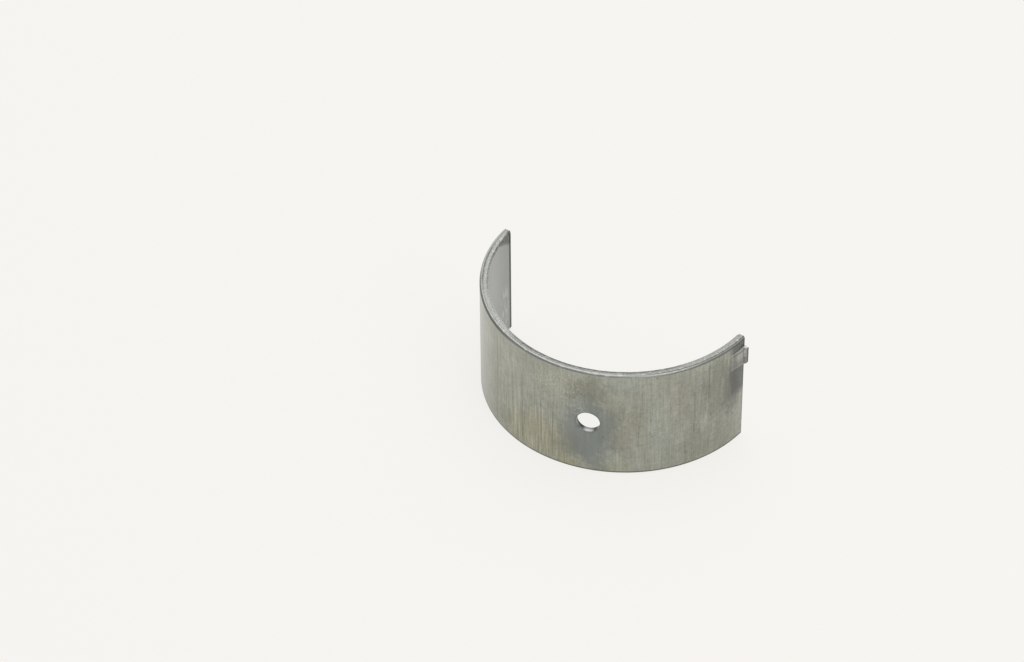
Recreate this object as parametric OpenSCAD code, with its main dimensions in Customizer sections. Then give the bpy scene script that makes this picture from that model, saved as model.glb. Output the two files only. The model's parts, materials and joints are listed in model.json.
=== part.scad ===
// Half shell of a split plain bearing for an engine's connecting rod.
// A steel-backed strip is rolled into a half round that springs slightly open, with an oil hole,
// chamfered edges and a locating lug pressed out of one end.
// The bore axis is Z, the origin is on that axis at mid width, the crown of the arc points to -Y
// and the lug is at the +X end.

/* [Shell] */
// Diameter of the rod's bore, which the clamped shell fills
housing_bore = 64; // [40:0.5:110]
// Thickness of the wall
wall = 2; // [1.4:0.1:4]
// Width of the shell along the bore axis
shell_width = 29; // [18:0.1:50]
// Angle that the free shell spans before it is clamped
free_arc = 177; // [168:0.5:179]

/* [Edges] */
// Chamfer where the back meets each side face
back_chamfer = 0.35; // [0.1:0.05:0.6]
// Chamfer where the running face meets each side face
running_chamfer = 0.4; // [0.1:0.05:0.7]
// Chamfer on the outer edge of each parting face
parting_outer_chamfer = 0.15; // [0.05:0.05:0.4]
// Chamfer on the inner edge of each parting face
parting_inner_chamfer = 0.3; // [0.05:0.05:0.5]

/* [Oil hole] */
// Diameter of the oil hole
oil_hole_d = 5.4; // [3:0.1:7]
// Angle from the crown to the oil hole, towards the lug end
oil_hole_angle = 19.8; // [0:0.1:45]
// Diameter of the countersink's mouth on the running face
countersink_d = 7.6; // [7.2:0.1:8.4]
// Included angle of the countersink
countersink_angle = 120; // [90:5:130]

/* [Locating lug] */
// Width of the lug along the bore axis
lug_width = 4.7; // [3:0.1:8]
// Distance from the upper side face to the lug
lug_margin = 2.5; // [1:0.1:6]
// Length of the lug along the back, from the parting face
lug_length = 4.4; // [3:0.1:8]
// Length of the lug's level land beside the parting face
lug_land = 0.4; // [0.2:0.1:0.7]
// Height of the lug's land above the back
lug_height = 1.05; // [0.5:0.05:1.8]
// Distance from the parting face to the foot of the step below the land
lug_step = 0.9; // [0.8:0.1:2]
// Height of the lug at the foot of the step, where its long ramp begins
lug_ramp_height = 0.4; // [0.3:0.05:0.5]
// Radius on the land's corner that faces mid width
lug_lower_corner = 0.45; // [0.2:0.05:0.9]
// Radius on the land's corner that faces the upper side face
lug_upper_corner = 0.25; // [0.1:0.05:0.9]

/* [Punch mark] */
// Metal left between the punch mark and the lug's land
lug_metal = 1.6; // [1:0.1:1.9]
// Distance that each side of the punch mark lies inside the lug's side
punch_inset = 0.6; // [0.3:0.1:1.2]
// Length of the punch mark along the running face, from the parting face
punch_length = 1.8; // [1.4:0.1:3]

/* [Hidden] */
$fn = 180;

// The strip keeps its length, so the free arc has a larger radius than the bore it is clamped in
back_r = housing_bore / 2 * 180 / free_arc;
running_r = back_r - wall;
top_z = shell_width / 2;
crown_direction = -90;
lug_end_direction = crown_direction + free_arc / 2;
// Cutting shapes run past the faces that they cut by this much
overshoot = 1;

oil_hole_r = oil_hole_d / 2;
countersink_r = countersink_d / 2;
countersink_slope = tan(countersink_angle / 2);
countersink_depth = (countersink_r - oil_hole_r) / countersink_slope;

lug_top_z = top_z - lug_margin;
lug_bottom_z = lug_top_z - lug_width;
punch_depth = wall + lug_height - lug_metal;
punch_width = lug_width - 2 * punch_inset;

// Point on radius r at a distance along the back from the parting face, which lies on local X
function along_back(r, distance) =
    let (turn = -distance / back_r * 180 / PI)
    [r * cos(turn), r * sin(turn)];

// Point past b on the line from a to b, by half of its length
function carried_on(a, b) = b + (b - a) / 2;

// Turns the local X axis onto the parting face at the lug end
module at_lug_end() {
    rotate([0, 0, lug_end_direction]) children();
}

// Flat outline, drawn in the plane of the bore circle, raised between two heights
module raised(from_z, to_z) {
    translate([0, 0, from_z])
        linear_extrude(to_z - from_z)
            children();
}

// The rolled strip: its section with the four chamfers, turned about the bore axis
module rolled_strip() {
    section = [
        [running_r, -top_z + running_chamfer],
        [running_r + running_chamfer, -top_z],
        [back_r - back_chamfer, -top_z],
        [back_r, -top_z + back_chamfer],
        [back_r, top_z - back_chamfer],
        [back_r - back_chamfer, top_z],
        [running_r + running_chamfer, top_z],
        [running_r, top_z - running_chamfer],
    ];
    rotate([0, 0, lug_end_direction - free_arc])
        rotate_extrude(angle = free_arc)
            polygon(section);
}

// Corner cuts along the two edges of the parting face at the lug end
module parting_edge_cuts() {
    outer_reach = parting_outer_chamfer + overshoot;
    inner_reach = parting_inner_chamfer + overshoot;
    at_lug_end() raised(-top_z - overshoot, top_z + overshoot) {
        polygon([
            [back_r - outer_reach, overshoot],
            [back_r + overshoot, overshoot],
            [back_r + overshoot, -outer_reach],
        ]);
        polygon([
            [running_r + inner_reach, overshoot],
            [running_r - overshoot, overshoot],
            [running_r - overshoot, -inner_reach],
        ]);
    }
}

// Side view of the lug: a level land beside the parting face, a step and a long ramp into the back
module lug_profile() {
    step_foot = along_back(back_r + lug_ramp_height, lug_step);
    ramp_foot = along_back(back_r, lug_length);
    polygon([
        along_back(back_r - wall / 2, 0),
        along_back(back_r + lug_height, 0),
        along_back(back_r + lug_height, lug_land),
        step_foot,
        carried_on(step_foot, ramp_foot),
    ]);
}

// End view of the lug: X is radial and Y runs along the bore axis, with both outer corners rounded
module lug_end_view() {
    root = back_r - wall;
    reach = back_r + lug_height;
    lower = lug_lower_corner;
    upper = lug_upper_corner;
    translate([root, lug_bottom_z + lower])
        square([reach - root, lug_width - lower - upper]);
    translate([root, lug_bottom_z])
        square([reach - lower - root, lower]);
    translate([root, lug_top_z - upper])
        square([reach - upper - root, upper]);
    translate([reach - lower, lug_bottom_z + lower])
        circle(lower);
    translate([reach - upper, lug_top_z - upper])
        circle(upper);
}

module lug() {
    at_lug_end() intersection() {
        raised(lug_bottom_z, lug_top_z) lug_profile();
        rotate([90, 0, 0])
            linear_extrude(lug_length + overshoot)
                lug_end_view();
    }
}

// Hollow that the press tool leaves in the running face behind the lug, open at the parting face
module punch_mark() {
    floor_r = running_r + punch_depth;
    toe = along_back(floor_r, lug_land);
    heel = along_back(running_r, punch_length);
    way_out = carried_on(toe, heel);
    at_lug_end() raised(lug_bottom_z + punch_inset, lug_bottom_z + punch_inset + punch_width)
        polygon([
            [way_out.x, overshoot],
            along_back(floor_r, 0) + [0, overshoot],
            along_back(floor_r, 0),
            toe,
            way_out,
        ]);
}

// Drilling along a radius at mid width, with its countersink on the running face
module oil_hole_cut() {
    mouth_r = countersink_r + overshoot * countersink_slope;
    rotate([0, 90, crown_direction + oil_hole_angle]) {
        translate([0, 0, running_r - overshoot])
            cylinder(h = wall + 2 * overshoot, r = oil_hole_r);
        translate([0, 0, running_r - overshoot])
            cylinder(h = countersink_depth + overshoot, r1 = mouth_r, r2 = oil_hole_r);
    }
}

module bearing_shell() {
    color([0.6, 0.61, 0.56])
        difference() {
            union() {
                difference() {
                    rolled_strip();
                    parting_edge_cuts();
                    mirror([1, 0, 0]) parting_edge_cuts();
                }
                lug();
            }
            punch_mark();
            oil_hole_cut();
        }
}

bearing_shell();
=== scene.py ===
import json
import math
import random

import bmesh
import bpy
from mathutils import Matrix, Vector, noise


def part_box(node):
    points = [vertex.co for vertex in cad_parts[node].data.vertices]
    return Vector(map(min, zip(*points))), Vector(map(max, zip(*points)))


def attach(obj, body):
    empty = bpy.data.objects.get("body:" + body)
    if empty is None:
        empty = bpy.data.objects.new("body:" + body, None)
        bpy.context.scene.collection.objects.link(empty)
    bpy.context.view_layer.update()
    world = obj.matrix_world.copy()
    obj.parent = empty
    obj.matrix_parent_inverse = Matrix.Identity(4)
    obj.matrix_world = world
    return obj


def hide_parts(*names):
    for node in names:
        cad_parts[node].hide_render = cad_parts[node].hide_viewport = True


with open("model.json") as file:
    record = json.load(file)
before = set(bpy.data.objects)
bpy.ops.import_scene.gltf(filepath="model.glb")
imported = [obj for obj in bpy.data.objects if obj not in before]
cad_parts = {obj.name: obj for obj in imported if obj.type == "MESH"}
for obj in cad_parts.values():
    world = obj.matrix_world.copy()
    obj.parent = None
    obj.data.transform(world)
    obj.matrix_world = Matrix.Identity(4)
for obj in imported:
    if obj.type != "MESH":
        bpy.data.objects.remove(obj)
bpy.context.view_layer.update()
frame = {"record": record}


# Bearing shell: one half of the split plain bearing in a connecting rod's big end.
# A steel strip with a thin bonded running layer is drilled, chamfered and rolled to a half round
# that springs slightly open, and a punch presses the locating lug out of one end.

MM = 0.001
seats = {mount["name"]: mount for mount in frame["record"]["mounts"]}
half_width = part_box("bearing_shell")[1].z
running_r = seats["journal_seat"]["dims"]["r_mm"] * MM
back_r = seats["housing_seat"]["dims"]["r_mm"] * MM
wall = back_r - running_r


def direction(vector):
    return math.atan2(vector[1], vector[0])


# Places on the shell are given by their distance along the back from the plain end, radius and height
plain_end = direction(seats["parting_face_plain_end"]["pos_m"])
lug_end = direction(seats["parting_face_lug_end"]["pos_m"])
strip_length = (lug_end - plain_end) * back_r


def strip_place(point):
    return (direction(point) - plain_end) * back_r, math.hypot(point[0], point[1]), point[2]


def shell_point(along, radius, height):
    turn = plain_end + along / back_r
    return Vector((radius * math.cos(turn), radius * math.sin(turn), height))


back_chamfer = 0.35 * MM
running_chamfer = 0.4 * MM
parting_outer_chamfer = 0.15 * MM
parting_inner_chamfer = 0.3 * MM
edge_round = 0.05 * MM
# How far the chamfers and their blunt corners reach from the side faces
edge_zone = 0.6 * MM

hole_along = strip_place(seats["oil_hole"]["pos_m"])[0]
hole_r = seats["oil_hole"]["dims"]["r_mm"] * MM
countersink_depth = wall - seats["oil_hole"]["dims"]["length_mm"] * MM
countersink_angle = math.radians(120)
countersink_slope = math.tan(countersink_angle / 2)
# Half the width of the square of cells that the hole's edges are drawn in from
hole_patch = 5 * MM
hole_fillet = 0.1 * MM

lug_width = 4.7 * MM
lug_margin = 2.5 * MM
lug_length = 4.4 * MM
lug_land = 0.4 * MM
lug_height = 1.05 * MM
lug_step = 0.9 * MM
lug_ramp_height = 0.4 * MM
lug_top = half_width - lug_margin
lug_bottom = lug_top - lug_width
lug_lower_corner = 0.45 * MM
lug_upper_corner = 0.25 * MM
lug_metal = 1.6 * MM
punch_depth = wall + lug_height - lug_metal
punch_length = 1.8 * MM
punch_inset = 0.6 * MM
punch_bottom = lug_bottom + punch_inset
punch_top = lug_top - punch_inset


# Share of a step by which rounding may make a gap too long
rounding = 1e-6


# Marks with evenly spaced points between them, no further apart than step
def spaced(marks, step):
    points = [marks[0]]
    for start, end in zip(marks, marks[1:]):
        count = max(1, math.ceil((end - start) / step - rounding))
        points += [start + (end - start) * n / count for n in range(1, count + 1)]
    return points


# Points nearer than this are one point
weld = 1e-7

# The strip's section, with its chamfers and slightly blunt corners, cut into small cells
section = bmesh.new()
outline = [
    (running_r, -half_width + running_chamfer),
    (running_r + running_chamfer, -half_width),
    (back_r - back_chamfer, -half_width),
    (back_r, -half_width + back_chamfer),
    (back_r, half_width - back_chamfer),
    (back_r - back_chamfer, half_width),
    (running_r + running_chamfer, half_width),
    (running_r, half_width - running_chamfer),
]
corners = [section.verts.new(shell_point(0, radius, height)) for radius, height in outline]
section.faces.new(corners)
bmesh.ops.bevel(
    section, geom=corners, offset=edge_round, segments=2, profile=0.5, affect="VERTICES", material=-1
)


# Cuts the section along a plane through a place
def cut(place, normal):
    parts = section.verts[:] + section.edges[:] + section.faces[:]
    bmesh.ops.bisect_plane(section, geom=parts, plane_co=place, plane_no=normal, dist=weld)


corner_steps = (0.08, 0.29, 0.62, 1)
lug_lines = [lug_bottom + lug_lower_corner * step for step in (0, *corner_steps)]
lug_lines += [punch_top] + [lug_top - lug_upper_corner * step for step in (1, 0.29, 0)]
patch_cells = 28
cell = 2 * hole_patch / patch_cells
levels = spaced([-half_width + edge_zone, -hole_patch], 3 * cell)
levels += spaced([-hole_patch, hole_patch], cell)
levels += spaced([hole_patch, *lug_lines, half_width - edge_zone], 2 * cell)
for height in levels:
    cut((0, 0, height), (0, 0, 1))
outward = shell_point(0, 1, 0)
wall_shares = (0.38, 0.5, 0.62)
for share in wall_shares:
    cut(outward * (running_r + wall * share), outward)


# Extrudes a patch of faces and gives its new faces and points
def extruded(faces):
    edges = {edge for face in faces for edge in face.edges}
    grown = bmesh.ops.extrude_face_region(shell, geom=faces + list(edges))["geom"]
    new_faces = [part for part in grown if isinstance(part, bmesh.types.BMFace)]
    return new_faces, [part for part in grown if isinstance(part, bmesh.types.BMVert)]


# Rolling: the section is carried round the bore axis, with stops where the hole and the lug need lines
shell = section
stops = spaced([
    0,
    parting_outer_chamfer,
    parting_inner_chamfer,
    hole_along - hole_patch,
    hole_along + hole_patch,
    strip_length - lug_length,
    strip_length - punch_length,
    strip_length - lug_step,
    strip_length - lug_land,
    strip_length - parting_inner_chamfer,
    strip_length - parting_outer_chamfer,
    strip_length,
], cell)
plain_cap = shell.faces[:]
lug_cap = plain_cap
for before, stop in zip(stops, stops[1:]):
    lug_cap, points = extruded(lug_cap)
    turn = Matrix.Rotation((stop - before) / back_r, 3, "Z")
    bmesh.ops.rotate(shell, cent=(0, 0, 0), matrix=turn, verts=points)
bmesh.ops.dissolve_faces(shell, faces=plain_cap, use_verts=True)
lug_cap = bmesh.ops.dissolve_faces(shell, faces=lug_cap, use_verts=True)["region"]
bmesh.ops.recalc_face_normals(shell, faces=shell.faces[:])


# A face that leans further than this towards the bore axis belongs to a side face or its chamfer,
# and a cell of the back or the running face lies as near to its radius as the tolerance
side_tilt = 0.3
face_tolerance = 0.05 * MM


# Cells of the back or the running face within a range along the strip and a range of heights
def cells(radius, start, end, bottom, top):
    found = []
    for face in shell.faces:
        along, face_radius, height = strip_place(face.calc_center_median())
        on_face = abs(face_radius - radius) < face_tolerance and abs(face.normal.z) < side_tilt
        if on_face and start < along < end and bottom < height < top:
            found.append(face)
    return found


# Raises cells off their surface; rise gives how far, by the distance from the lug end and the height
def press(faces, rise):
    for point in extruded(faces)[1]:
        along, radius, height = strip_place(point.co)
        point.co = shell_point(along, radius + rise(strip_length - along, height), height)


def corner_drop(inset, radius):
    return radius - math.sqrt(max(0, radius**2 - max(0, radius - inset) ** 2))


def lug_rise(distance, height):
    ramp = lug_ramp_height * (lug_length - distance) / (lug_length - lug_step)
    step_share = (lug_step - distance) / (lug_step - lug_land)
    step = lug_ramp_height + (lug_height - lug_ramp_height) * step_share
    lower = lug_height - corner_drop(height - lug_bottom, lug_lower_corner)
    upper = lug_height - corner_drop(lug_top - height, lug_upper_corner)
    return max(0, min(max(ramp, step), lower, upper, lug_height))


def punch_rise(distance, _):
    return punch_depth * max(0, min(1, (punch_length - distance) / (punch_length - lug_land)))


press(cells(back_r, strip_length - lug_length, strip_length, lug_bottom, lug_top), lug_rise)
press(cells(running_r, strip_length - punch_length, strip_length, punch_bottom, punch_top), punch_rise)
bmesh.ops.remove_doubles(shell, verts=shell.verts[:], dist=weld)

# The lug's end and the hollow's mouth are flush with the parting face, so they become one face with it
end_faces = [
    face for face in shell.faces
    if all(abs(strip_place(vert.co)[0] - strip_length) < 10 * weld for vert in face.verts)
]
bmesh.ops.dissolve_faces(shell, faces=end_faces, use_verts=False)

# Small chamfers along both edges of each parting face, past the lug
for vert in shell.verts:
    along, radius, height = strip_place(vert.co)
    distance = min(along, strip_length - along)
    if distance < parting_inner_chamfer and radius < back_r + 10 * weld:
        inner = running_r + max(0, parting_inner_chamfer - distance)
        outer = back_r - max(0, parting_outer_chamfer - distance)
        vert.co = shell_point(along, min(max(radius, inner), outer), height)

# Oil hole: the cells round it are taken out of both faces, and the edges left are drawn in to circles
hole_axis = shell_point(hole_along, 1, 0)
hole_side = shell_point(hole_along + math.pi / 2 * back_r, 1, 0)


def take_out(radius):
    patch = cells(radius, hole_along - hole_patch, hole_along + hole_patch, -hole_patch, hole_patch)
    edges = {edge for face in patch for edge in face.edges}
    border = [edge for edge in edges if sum(face in patch for face in edge.link_faces) == 1]
    bmesh.ops.delete(shell, geom=patch, context="FACES")
    return border


# Extrudes a loop of edges and draws the new loop in to a circle about the hole's axis
def draw_in(loop, circle, depth):
    grown = bmesh.ops.extrude_edge_only(shell, edges=loop)["geom"]
    points = {part for part in grown if isinstance(part, bmesh.types.BMVert)}
    for point in points:
        bearing = math.atan2(point.co.z, point.co.dot(hole_side))
        across = circle(bearing) * math.cos(bearing)
        point.co = hole_axis * depth(across) + hole_side * across
        point.co.z = circle(bearing) * math.sin(bearing)
    return [
        part for part in grown
        if isinstance(part, bmesh.types.BMEdge) and points.issuperset(part.verts)
    ]


shoulder = running_r + countersink_depth


# Distance from the bore axis to a round face, at a distance across the hole
def face_depth(radius, sunk=0):
    return lambda across: math.sqrt(radius**2 - across**2) - sunk


# The countersink's mouth is a little wider along the strip, where the running face curves away
def mouth(bearing):
    circle = hole_r + countersink_depth * countersink_slope
    for _ in range(6):
        depth = shoulder - face_depth(running_r)(circle * math.cos(bearing))
        circle = hole_r + depth * countersink_slope
    return circle


outer_loop = take_out(back_r)
for circle, sunk in ((hole_r + 4 * hole_fillet, 0), (hole_r + hole_fillet, 0), (hole_r, hole_fillet)):
    outer_loop = draw_in(outer_loop, lambda bearing: circle, face_depth(back_r, sunk))
inner_loop = take_out(running_r)
for spread in (4 * hole_fillet, 0.5 * hole_fillet):
    inner_loop = draw_in(inner_loop, lambda bearing: mouth(bearing) + spread, face_depth(running_r))
inner_loop = draw_in(
    inner_loop, lambda bearing: mouth(bearing) - hole_fillet, face_depth(running_r, -hole_fillet)
)
inner_loop = draw_in(inner_loop, lambda bearing: hole_r, lambda across: shoulder)
bmesh.ops.bridge_loops(shell, edges=outer_loop + inner_loop)

# Nicks along the edges of the side faces, left by handling: each takes a little metal away
nicks = random.Random(11)
nick_edges = (
    (running_r + running_chamfer, half_width, 46),
    (running_r + running_chamfer, -half_width, 40),
    (back_r - back_chamfer, half_width, 20),
    (back_r - back_chamfer, -half_width, 20),
)
nick_reach = 0.45 * MM
for edge_radius, edge_height, count in nick_edges:
    dents = [
        (nicks.uniform(0, strip_length), nicks.uniform(0.3, 0.9) * MM, nicks.uniform(0.03, 0.13) * MM)
        for _ in range(count)
    ]
    for vert in shell.verts:
        along, radius, height = strip_place(vert.co)
        gap = math.hypot(radius - edge_radius, height - edge_height)
        if gap < nick_reach:
            depth = max(dent * max(0, 1 - abs(along - at) / width) for at, width, dent in dents)
            sink = depth * (1 - gap / nick_reach)
            vert.co.z -= math.copysign(sink, edge_height)

# The punch tears the lug's faces a little uneven
tear_spacing = 0.7 * MM
tear_depth = 0.05 * MM
for vert in shell.verts:
    along, radius, height = strip_place(vert.co)
    if radius > back_r + 2 * tear_depth:
        tear = noise.noise(vert.co / tear_spacing) * 0.5 + 0.5
        vert.co = shell_point(along, radius - tear_depth * tear, height)

bmesh.ops.recalc_face_normals(shell, faces=shell.faces[:])
sharp = math.radians(28)
for face in shell.faces:
    face.smooth = True
for edge in shell.edges:
    edge.smooth = edge.calc_face_angle(0) < sharp

# Each face takes the finish of the tool that made it
BACK, SIDE, RUNNING, SHEARED, DRILLED = range(5)
drilled_reach = hole_r + countersink_depth * countersink_slope + 4 * hole_fillet
drilled_tilt = 0.95
sheared_tilt = 0.5
for face in shell.faces:
    middle = face.calc_center_median()
    along, radius, height = strip_place(middle)
    outward = Vector((middle.x, middle.y, 0)).normalized()
    radial = face.normal.dot(outward)
    near_hole = middle.dot(hole_axis) > 0 and math.hypot(middle.dot(hole_side), height) < drilled_reach
    if near_hole and abs(face.normal.dot(hole_axis)) < drilled_tilt:
        face.material_index = DRILLED
    elif abs(face.normal.z) > side_tilt and abs(height) > half_width - edge_zone:
        face.material_index = SIDE
    elif abs(radial) < sheared_tilt:
        face.material_index = SHEARED
    else:
        face.material_index = BACK if radial > 0 else RUNNING

mesh = bpy.data.meshes.new("bearing_shell_finish")
shell.to_mesh(mesh)
shell.free()
bearing_shell = bpy.data.objects.new("bearing_shell_finish", mesh)
bpy.context.collection.objects.link(bearing_shell)


class Value:
    """A shader socket that adds a Math node when it is used in an expression."""

    def __init__(self, tree, socket):
        self.tree = tree
        self.socket = socket

    def node(self, kind, settings, sockets, out=0):
        made = self.tree.nodes.new(kind)
        for name, setting in settings.items():
            setattr(made, name, setting)
        for key, value in sockets.items():
            if isinstance(value, Value):
                self.tree.links.new(value.socket, made.inputs[key])
            else:
                made.inputs[key].default_value = value
        return Value(self.tree, made.outputs[out])

    def math(self, operation, *terms):
        return self.node("ShaderNodeMath", {"operation": operation}, dict(enumerate(terms)))

    def __add__(self, other):
        return self.math("ADD", self, other)

    __radd__ = __add__

    def __sub__(self, other):
        return self.math("SUBTRACT", self, other)

    def __rsub__(self, other):
        return self.math("SUBTRACT", other, self)

    def __mul__(self, other):
        return self.math("MULTIPLY", self, other)

    __rmul__ = __mul__

    def between(self, low, high):
        """0 at low and 1 at high, with a smooth step between them; low may be above high."""
        return self.node("ShaderNodeMapRange", {"interpolation_type": "SMOOTHSTEP"}, {
            "Value": self, "From Min": low, "From Max": high,
        })

    def noise(self, x, y, seed, detail=2, roughness=0.5):
        spot = self.node("ShaderNodeCombineXYZ", {}, {0: x, 1: y, 2: seed})
        return self.node("ShaderNodeTexNoise", {}, {
            "Vector": spot, "Scale": 1, "Detail": detail, "Roughness": roughness,
        })

    def tint(self, foot_shade, over):
        """Colour under, with colour over laid on it as far as this value says."""
        return self.node("ShaderNodeMix", {"data_type": "RGBA"}, {0: self, 6: foot_shade, 7: over}, out=2)

    def shade(self, tone):
        """This colour, made lighter or darker by tone."""
        return self.node("ShaderNodeMix", {"data_type": "RGBA", "blend_type": "MULTIPLY"}, {
            0: 1, 6: self, 7: tone,
        }, out=2)


def colour(red, green, blue):
    shares = [part / 255 for part in (red, green, blue)]
    return [((s + 0.055) / 1.055) ** 2.4 if s > 0.04 else s / 12.92 for s in shares] + [1]


# A metal finish and the place on the shell that its pattern follows, in millimetres:
# along the back from the crown towards the lug, height above mid width, and radius
def metal(name):
    material = bpy.data.materials.new(name)
    material.use_nodes = True
    tree = material.node_tree
    shader = tree.nodes["Principled BSDF"]
    shader.inputs["Metallic"].default_value = 1
    spot = Value(tree, tree.nodes.new("ShaderNodeTexCoord").outputs["Object"])
    x, y, z = (spot.node("ShaderNodeSeparateXYZ", {}, {0: spot}, out=axis) * (1 / MM) for axis in range(3))
    along = (x.math("ARCTAN2", y, x) + math.pi / 2) * (back_r / MM)
    radius = x.math("SQRT", x * x + y * y)
    return material, shader, along, z, radius


def coat(shader, base, roughness, bump, bump_depth):
    lift = bump.node("ShaderNodeBump", {}, {"Height": bump, "Distance": bump_depth})
    for name, value in (("Base Color", base), ("Roughness", roughness), ("Normal", lift)):
        value.tree.links.new(value.socket, shader.inputs[name])


# Soft-edged oval patch, 1 in its middle, whose border wobble pushes in and out
def stain(along, height, wobble, middle, reach):
    across = (along - middle[0]) * (1 / reach[0])
    up = (height - middle[1]) * (1 / reach[1])
    return (wobble + along.math("SQRT", across * across + up * up)).between(1.25, 0.4)


# Thin line along a place, 1 along its middle
def thin_line(distance, place, reach):
    gap = distance - place
    return gap.math("ABSOLUTE", gap).between(reach, 0.3 * reach)


# Scattered small pits: share is the part of the cells that have one
def pits(along, height, density, share):
    spot = along.node("ShaderNodeCombineXYZ", {}, {0: along, 1: height, 2: share})
    cells_here = {"Vector": spot, "Scale": density}
    near = along.node("ShaderNodeTexVoronoi", {}, cells_here)
    pick = along.node("ShaderNodeTexVoronoi", {}, cells_here, out=1)
    pick = along.node("ShaderNodeSeparateXYZ", {}, {0: pick})
    return near.between(0.13, 0.06) * pick.between(share + 0.01, share)


# Places that the finishes follow, in millimetres
rim = half_width / MM
lug_low = lug_bottom / MM
lug_high = lug_top / MM
strip_end = strip_length / MM / 2
hole_middle = hole_along / MM - strip_end
step_place = strip_end - lug_step / MM
land_place = strip_end - lug_land / MM

# Stains of dried oil on the back, with a painted cool reflection at the left edge as the first entry:
# middle, reach, strength and colour
back_stains_and_reflection = (
    # Painted reflection: the cooler tone the back picks up towards its left edge
    ((-31, 0), (8, 26), 0.7, colour(161, 168, 162)),
    ((-2, -9), (11, 7.5), 0.75, colour(166, 164, 142)),
    ((-14.5, -4), (4, 10), 0.4, colour(150, 151, 137)),
    ((-11.5, -9), (3, 3), 0.5, colour(136, 136, 124)),
    ((-3, -6), (2.5, 5), 0.3, colour(140, 138, 124)),
    ((4, 10), (5, 3.5), 0.4, colour(170, 171, 156)),
    ((11.5, 9.5), (5.5, 4.5), 0.7, colour(135, 135, 122)),
    ((15, 3), (4.5, 9), 0.6, colour(140, 140, 127)),
    ((11.5, -3), (7, 11), 0.85, colour(131, 137, 135)),
    ((6, -8), (3.5, 5), 0.5, colour(136, 137, 127)),
    ((18.5, -4), (2.6, 4), 0.4, colour(142, 136, 123)),
    ((18.5, -12), (3, 3), 0.5, colour(172, 171, 154)),
    ((19.5, 12.8), (5, 2), 0.55, colour(168, 172, 166)),
    ((21.5, 1), (2.8, 5), 0.4, colour(145, 143, 130)),
    ((7, -13), (3.5, 2), 0.5, colour(168, 166, 138)),
    ((27, -3), (2.6, 13), 0.5, colour(168, 173, 164)),
    ((32, 5), (3, 7), 0.3, colour(152, 147, 136)),
    ((36.5, 3), (3, 10), 0.45, colour(146, 147, 135)),
    ((37, -9), (5, 6), 0.6, colour(148, 149, 137)),
    ((42, 5), (5, 11), 0.7, colour(132, 133, 123)),
    ((46, 2.5), (3.2, 10), 0.7, colour(121, 122, 115)),
    ((45, -10), (4, 5), 0.5, colour(146, 147, 136)),
    ((49.4, -7), (0.9, 9), 0.6, colour(156, 157, 152)),
)
# Upright scores on the back: place, top, bottom and darkness
back_scores = (
    (-18.7, 14, 2, -0.06),
    (-14.8, 13, -11.5, 0.22),
    (-9.3, -1, -15, -0.14),
    (-8, 1, -14, -0.14),
    (-5.7, 8, -13, 0.2),
    (-0.25, 3.5, -12, 0.18),
    (0.2, 3, -12, -0.14),
    (2.8, 4, -14.5, 0.2),
    (3.8, -2, -15, -0.14),
    (22.6, 2, -8, 0.12),
    (35.5, 8, -7, 0.12),
    (38.7, 6, -10, -0.1),
    (39.2, 14.5, 1, 0.2),
    (43.6, 15, 10.5, -0.22),
    (44.6, 13, 5, -0.14),
    (45.5, 13.5, 3, 0.2),
    (46.1, 12, 6, -0.16),
)
# Single pits in the back: place, height, half their length along the back and strength
back_pits = (
    (26.5, 13.4, 0.3, 0.9),
    (25.4, 1.1, 0.35, 0.7),
    (25.5, -3.8, 0.3, 0.7),
    (22.6, -6.05, 1.2, 0.4),
    (31.6, 4.4, 0.3, 0.5),
)


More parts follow.
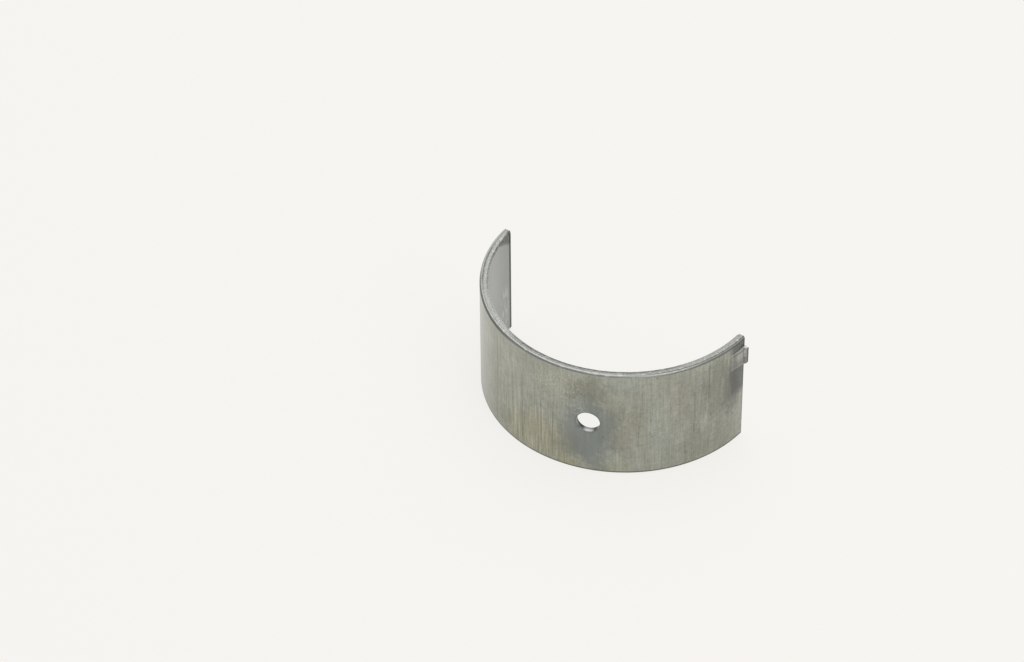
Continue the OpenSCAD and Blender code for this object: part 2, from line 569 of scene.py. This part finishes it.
# Rolled steel back: dull olive grey, drawn into fine streaks along the bore axis
def rolled_back():
    material, shader, along, height, _ = metal("rolled_back")
    hair = along.noise(along * 3.2, height * 0.14, 1, 2) - 0.5
    streak = along.noise(along * 1.3, height * 0.08, 2, 2) - 0.5
    broad = along.noise(along * 0.5, height * 0.05, 3, 2) - 0.5
    cloud = along.noise(along * 0.22, height * 0.2, 4, 4, 0.6) - 0.5
    mottle = along.noise(along * 1.1, height * 0.8, 5, 3, 0.6) - 0.5
    speckle = along.noise(along * 2.4, height * 1.8, 6, 2) - 0.5

    base = cloud.between(-0.15, 0.2).tint(colour(158, 160, 149), colour(168, 170, 159))
    # The stains, and the painted reflection at the left edge, laid over the base
    for middle, reach, strength, patch_colour in back_stains_and_reflection:
        patch = stain(along, height, 1.1 * cloud + 0.5 * mottle, middle, reach)
        base = (strength * patch).tint(base, patch_colour)
    for middle, reach in (((4, 9.5), (7, 4.5)), ((9, 3.5), (2.5, 2))):
        flaked = stain(along, height, cloud, middle, reach) * speckle.between(0.04, 0.14)
        base = (0.5 * flaked).tint(base, colour(184, 185, 170))

    # Darker on both sides of the lug; on the lug, a darker root, painted highlights on the ramp and along
    # its edges, a lighter step, painted shade in the bend and below the top edge, and a dark land
    lug_zone = (along + 2.5 * mottle).between(44.2, 46.6) * (height + 2 * streak).between(-1.9, 1.2)
    across_lug = height.between(lug_low - 0.1, lug_low + 0.1)
    across_lug = across_lug * height.between(lug_high + 0.1, lug_high - 0.1)
    beside_lug = lug_zone * (1 - across_lug)
    base = (0.92 * beside_lug).tint(base, colour(106, 107, 104))
    on_lug = along.between(45.6, 46.2) * across_lug
    base = (0.8 * on_lug).tint(base, colour(130, 131, 127))
    # Painted highlight on the upper part of the ramp
    ramp_highlight = stain(along, height, mottle, (48.3, 10.3), (1.4, 1.5)) * across_lug
    base = (0.7 * ramp_highlight).tint(base, colour(172, 173, 168))
    # Painted highlights along the lug's upper and lower edges
    upper_edge_highlight = thin_line(height, lug_high - 0.2, 0.25)
    lower_edge_highlight = thin_line(height, lug_low + 0.15, 0.25)
    base = (lug_zone * (0.6 * upper_edge_highlight + 0.35 * lower_edge_highlight)).tint(base, colour(176, 177, 172))
    # Lighter, mottled step
    step = across_lug * along.between(step_place - 0.1, step_place)
    end_tone = mottle.between(-0.1, 0.15).tint(colour(150, 152, 147), colour(184, 186, 181))
    base = (0.75 * step).tint(base, end_tone)
    # Painted shade in the crease where the step rises from the ramp
    bend_shade = across_lug * thin_line(along + 0.7 * mottle, step_place, 0.2)
    base = (0.45 * bend_shade).tint(base, colour(98, 100, 96))
    # Painted shade in a thin line below the lug's top edge
    shade_line = thin_line(height, lug_high - 0.75, 0.35) * along.between(step_place, step_place - 0.3)
    base = (0.45 * on_lug * shade_line).tint(base, colour(98, 100, 96))
    land = across_lug * along.between(land_place - 0.1, land_place)
    base = (0.85 * land).tint(base, colour(92, 94, 90))

    # Streaks, upright scores and pits make the colour lighter and darker
    blued = stain(along, height, cloud, (11, -4), (7, 9))
    lower_left = along.between(9, 2) * along.between(-18, -12) * height.between(5, -5)
    tone = (1 + lower_left - 0.6 * blued) * (0.46 * hair + 0.32 * streak + 0.22 * broad)
    tone = 1 + tone + (1 - 0.7 * blued) * (0.42 * mottle + 0.4 * speckle)
    for place, top, bottom, darkness in back_scores:
        line = thin_line(along + 0.3 * broad, place, 0.3)
        tone = tone - darkness * line * height.between(top, top - 2) * height.between(bottom, bottom + 2)
    specks = pits(along, height, 0.55, 0.13)
    for place, up, reach, strength in back_pits:
        specks = specks + strength * stain(along, height, 0.4 * speckle, (place, up), (reach, 0.24))
    base = base.shade(tone - 0.35 * specks)

    # Darker round the edge of the hole, along the back's edges beside the chamfers and near both ends;
    # along the bottom edge and in the corner above the lug the darkening is painted shade
    from_hole = along.math("SQRT", (along - hole_middle) * (along - hole_middle) + height * height)
    base = (0.35 * from_hole.between(3.15, 2.85)).tint(base, colour(96, 98, 95))
    edge = height.math("ABSOLUTE", height).between(rim - 0.8, rim - 0.5)
    at_sides = 0.75 * along.between(-6, -16) + 0.55 * along.between(20, 36)
    # Painted shade along the bottom edge, where the floor's contact shadow falls
    bottom_edge_shade = (0.75 + 0.2 * along.between(38, 44)) * height.between(0, -1)
    at_sides = at_sides.math("MAXIMUM", at_sides, bottom_edge_shade)
    base = (edge * at_sides).tint(base, colour(72, 74, 70))
    ends = along.math("ABSOLUTE", along).between(strip_end - 0.45, strip_end - 0.2)
    base = (0.8 * ends).tint(base, colour(84, 86, 82))
    # Painted shade in the corner between the back and the lug's upper side
    corner_shade_above_lug = height.between(lug_high, lug_high + 0.2) * along.between(strip_end - 0.9, strip_end - 0.5)
    base = (0.8 * corner_shade_above_lug).tint(base, colour(66, 68, 64))
    gloss = 0.22 + 0.08 * cloud + 0.06 * hair + 0.12 * beside_lug
    coat(shader, base, gloss, 0.7 * streak + 0.4 * hair + 0.25 * mottle - 0.5 * specks, 0.012 * MM)
    return material


# Machined side faces: the steel is bright, the bonded alloy inside it grainy, with dark lines between
def turned_side():
    material, shader, along, height, radius = metal("turned_side")
    depth = back_r / MM - radius
    grain = along.noise(along * 2.6, depth * 4, 11, 3, 0.65)
    dash = along.noise(along * 0.7, depth * 1.5, 12, 3, 0.6)
    sway = along.noise(along * 0.3, 0, 13, 2) - 0.5
    left = along.between(-8, -18)
    right = along.between(14, 30)
    front = along.between(-14, -6) * along.between(36, 28)
    base = grain.between(0.3, 0.7).tint(colour(146, 148, 143), colour(210, 211, 206))
    base = base.shade(1 - 0.28 * front - 0.16 * along.between(28, 36))

    # The chamfer beside the back, with painted sheen towards both ends, a painted highlight along its edge
    # on the left and a dark lip on the right
    chamfer = depth.between(0.4, 0.32)
    chamfer_tone_and_sheen = along.between(36, 44).tint(colour(160, 162, 156), colour(184, 186, 179))
    chamfer_tone_and_sheen = along.between(-31, -36).tint(chamfer_tone_and_sheen, colour(198, 200, 194))
    base = chamfer.tint(base, chamfer_tone_and_sheen)
    # Painted highlight along the chamfer's edge
    edge_highlight = thin_line(depth, 0.42, 0.16) * (1 - right)
    base = (0.6 * edge_highlight).tint(base, colour(206, 207, 203))
    lip = thin_line(depth, 0.42, 0.14) * right
    base = (0.85 * lip).tint(base, colour(80, 82, 78))

    # The seam between steel and alloy, glints beside it and the alloy's torn inner edge
    seam = thin_line(depth + 0.25 * sway, 0.7, 0.32) * dash.between(0.28, 0.44)
    seam = seam * (0.35 * left + 0.65 * along.between(-27, -33) - 0.55 * along.between(-42, -46))
    base = (0.75 * seam).tint(base, colour(100, 102, 98))
    glint = thin_line(depth, 0.6, 0.22) * along.noise(along * 0.9, depth, 14, 3, 0.6).between(0.54, 0.62)
    base = (0.6 * glint * along.between(-10, -4)).tint(base, colour(216, 217, 213))
    torn = thin_line(depth + 0.15 * sway, 1.36, 0.36) * front
    torn = (torn + 0.6 * depth.between(1.5, 1.7) * along.between(-39, -41)) * dash.between(0.4, 0.5)
    base = (0.75 * torn).tint(base, colour(102, 104, 100))

    # Darker along the outer edge at the left and right, at the handled corner and in the pits; the inner
    # chamfer at the left is painted lighter and the bottom chamfer painted with shade round the foot
    edge = depth.between(0.16, 0.02) * (left * along.between(-31, -26) + 0.75 * along.between(20, 36))
    base = (0.75 * edge).tint(base, colour(76, 78, 74))
    handled = along.between(-48.6, -49.3) * depth.between(1, 1.4)
    base = (0.8 * handled).tint(base, colour(112, 114, 110))
    specks = pits(along, depth * 1.2, 0.8, 0.16)
    # Painted light: the inner chamfer at the left made lighter
    base = base.shade(1 - 0.4 * specks + 0.15 * left * depth.between(1.55, 1.65))
    # Painted shade on the bottom chamfer, where the floor's contact shadow falls
    foot_shade = height.between(0.2 - rim, -rim) * depth.between(0.5, 0.4)
    base = (0.75 * foot_shade).tint(base, colour(70, 71, 68))
    coat(shader, base, 0.28 + 0.14 * grain, grain - 0.6 * seam - specks, 0.03 * MM)
    return material


# Bonded running layer: smooth pale grey, scuffed where the plain end was handled
def running_layer():
    material, shader, along, height, _ = metal("running_layer")
    cloud = along.noise(along * 0.12, height * 0.08, 21, 3)
    satin = along.noise(along * 0.9, height * 0.05, 22, 3)
    grit = along.noise(along * 1.6, height * 1.6, 23, 4, 0.7)
    smear_and_highlight = along.noise(along * 1.6, height * 0.3, 24, 3)
    base = cloud.between(0.3, 0.7).tint(colour(162, 166, 163), colour(168, 172, 169))
    base = base.shade(1 - 0.1 * along.between(-38, -47))
    corner = (height - 0.57 * along + 5 * (grit - 0.5)).between(39.2, 39.6) * along.between(-40, -42)
    scuffed = grit.between(0.4, 0.7).tint(colour(101, 103, 99), colour(152, 154, 150))
    base = (0.95 * corner).tint(base, scuffed)
    smear = smear_and_highlight.between(0.45, 0.65) * stain(along, height, grit - 0.5, (-46.6, -6), (2.6, 7.5))
    base = (0.75 * smear).tint(base, colour(196, 199, 195))
    # Painted shade along the plain end's inner edge; the thinner dark line at the lug end is chips
    plain_edge_shade = along.between(1.2 - strip_end, 0.95 - strip_end)
    lug_edge = along.between(strip_end - 0.5, strip_end - 0.35)
    end_tone = height.between(-4, 6).tint(colour(80, 82, 79), colour(60, 62, 59))
    base = (0.9 * plain_edge_shade + 0.5 * lug_edge).tint(base, end_tone)
    base = base.shade(1 + 0.06 * (satin - 0.5) - 0.4 * pits(along, height, 0.4, 0.04))
    coat(shader, base, 0.3 + 0.08 * cloud + 0.15 * corner, grit + satin, 0.004 * MM)
    return material


# Sheared metal of the parting faces, the lug's sides and the hollow behind it: torn, so half dull
def sheared_end():
    material, shader, along, height, radius = metal("sheared_end")
    shader.inputs["Metallic"].default_value = 0.5
    depth = back_r / MM - radius
    tear = along.noise(depth * 3, height * 2.2, 31, 4, 0.7)
    drag = along.noise(depth * 0.6, height * 5, 32, 3, 0.6)
    base = tear.between(0.35, 0.65).tint(colour(150, 152, 148), colour(196, 197, 192))
    chips = thin_line(depth, 1.56, 0.24) * along.noise(height * 1.1, 0, 33, 3).between(0.44, 0.5)
    base = (0.8 * chips).tint(base, colour(74, 76, 73))
    # Painted highlight along the lug's upper edge, on its side wall and burr near the end
    burr_highlight = depth.between(-0.1, -0.4) * along.between(strip_end - 1.2, strip_end - 0.5)
    edge_highlight = 0.5 * along.between(strip_end - 4, strip_end - 3) * depth.between(0.1, 0) + 0.4 * burr_highlight
    base = (edge_highlight * height.between(lug_high - 0.4, lug_high - 0.2)).tint(base, colour(236, 237, 233))
    base = base.shade(0.85 + 0.3 * drag)
    coat(shader, base, 0.38 + 0.2 * tear, tear + 0.5 * drag, 0.08 * MM)
    return material


# Drilled wall of the oil hole and its countersink, with the tool's rings, a painted highlight on the outer
# part of the wall and a darker patch on one side
def drilled_wall():
    material, shader, along, height, radius = metal("drilled_wall")
    across = along - hole_middle
    rings = along.noise(radius * 6, 0, 41, 3, 0.7)
    wipe = along.noise(along * 1.2, height * 1.2, 42, 3)
    base = rings.between(0.35, 0.65).tint(colour(112, 114, 112), colour(168, 169, 166))
    sunk = rings.tint(colour(140, 143, 141), colour(200, 202, 200))
    base = (0.8 * radius.between(31.3, 31.1)).tint(base, sunk)
    # Painted highlight: the lit crescent on the outer part of the wall
    smear_and_highlight = across.between(-1.5, -0.3) * across.between(2, 0.7) * radius.between(31.5, 32)
    base = (0.7 * smear_and_highlight).tint(base, colour(214, 215, 212))
    # Darker low on one side of the wall
    darker_side = across.between(-0.8, -1.7) * height.between(0.8, -0.2) * radius.between(32.2, 31.6)
    base = (0.85 * darker_side).tint(base, colour(78, 79, 76))
    base = base.shade(0.85 + 0.3 * wipe)
    coat(shader, base, 0.24 + 0.1 * wipe, rings, 0.02 * MM)
    return material


for finish in (rolled_back(), turned_side(), running_layer(), sheared_end(), drilled_wall()):
    mesh.materials.append(finish)
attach(bearing_shell, "root")
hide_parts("bearing_shell")


# Floor and light: a pale sheet that the shell stands on, in a tent of soft even light.
# The camera and the metal see the sheet as plain pale paper, with the shell's soft shadow on it.

paper = colour(248, 246, 242)
camera_glow = 0.85
mirror_glow = 0.5
floor_size = 4
sheet = bmesh.new()
bmesh.ops.create_grid(
    sheet, x_segments=1, y_segments=1, size=floor_size / 2, matrix=Matrix.Translation((0, 0, -half_width))
)
floor_mesh = bpy.data.meshes.new("floor")
sheet.to_mesh(floor_mesh)
sheet.free()
floor = bpy.data.objects.new("floor", floor_mesh)
bpy.context.collection.objects.link(floor)

floor_finish = bpy.data.materials.new("pale_paper")
floor_finish.use_nodes = True
floor_tree = floor_finish.node_tree
floor_shader = floor_tree.nodes["Principled BSDF"]
floor_shader.inputs["Base Color"].default_value = paper
floor_shader.inputs["Roughness"].default_value = 0.9
rays = floor_tree.nodes.new("ShaderNodeLightPath")
seen = Value(floor_tree, rays.outputs["Is Camera Ray"]) * camera_glow
for kind in ("Is Glossy Ray", "Is Transmission Ray"):
    seen = seen.math("MAXIMUM", seen, Value(floor_tree, rays.outputs[kind]) * mirror_glow)
glow = seen.node("ShaderNodeEmission", {}, {"Color": paper, "Strength": 1})
floor_look = seen.node("ShaderNodeMixShader", {}, {
    0: seen, 1: Value(floor_tree, floor_shader.outputs["BSDF"]), 2: glow,
})
floor_tree.links.new(floor_look.socket, floor_tree.nodes["Material Output"].inputs["Surface"])
floor_mesh.materials.append(floor_finish)

world = bpy.data.worlds.new("light_tent")
world.use_nodes = True
sky = world.node_tree.nodes["Background"]
sky.inputs["Color"].default_value = (1, 1, 1, 1)
sky.inputs["Strength"].default_value = 0.45
bpy.context.scene.world = world
bpy.context.scene.view_settings.view_transform = "Standard"

# Soft boxes round the shell: angle from the crown's direction, elevation, size and power
softbox_distance = 0.6
softboxes = {
    "right_softbox": (70, 38, 0.3, 0.5),
    "back_softbox": (-145, 42, 0.7, 0.7),
    "top_softbox": (0, 90, 0.8, 1.8),
}
for name, (bearing, elevation, size, power) in softboxes.items():
    lamp = bpy.data.lights.new(name, "AREA")
    lamp.size = size
    lamp.energy = power
    softbox = bpy.data.objects.new(name, lamp)
    turn = Matrix.Rotation(math.radians(bearing), 4, "Z")
    tilt = Matrix.Rotation(math.radians(90 - elevation), 4, "X")
    softbox.matrix_world = turn @ tilt @ Matrix.Translation((0, 0, softbox_distance))
    bpy.context.collection.objects.link(softbox)


# Camera: a long lens at the photograph's viewing angle, about forty degrees above the floor.
# The sight line gives the way it looks, and the lens the photograph's scale.

sight = Vector((-0.4362, 0.6098, -0.6617)).normalized()
camera_place = Vector((0.38167, -0.57715, 0.6097))
camera_roll = math.radians(0.53)
camera = bpy.data.objects.new("camera", bpy.data.cameras.new("camera"))
camera.data.lens = 143.36
camera.data.sensor_width = 36
right = sight.cross(Vector((0, 0, 1))).normalized()
up = right.cross(sight)
level = Matrix((right, up, -sight)).transposed().to_4x4()
camera.matrix_world = Matrix.Translation(camera_place) @ level @ Matrix.Rotation(-camera_roll, 4, "Z")
bpy.context.collection.objects.link(camera)
bpy.context.scene.camera = camera
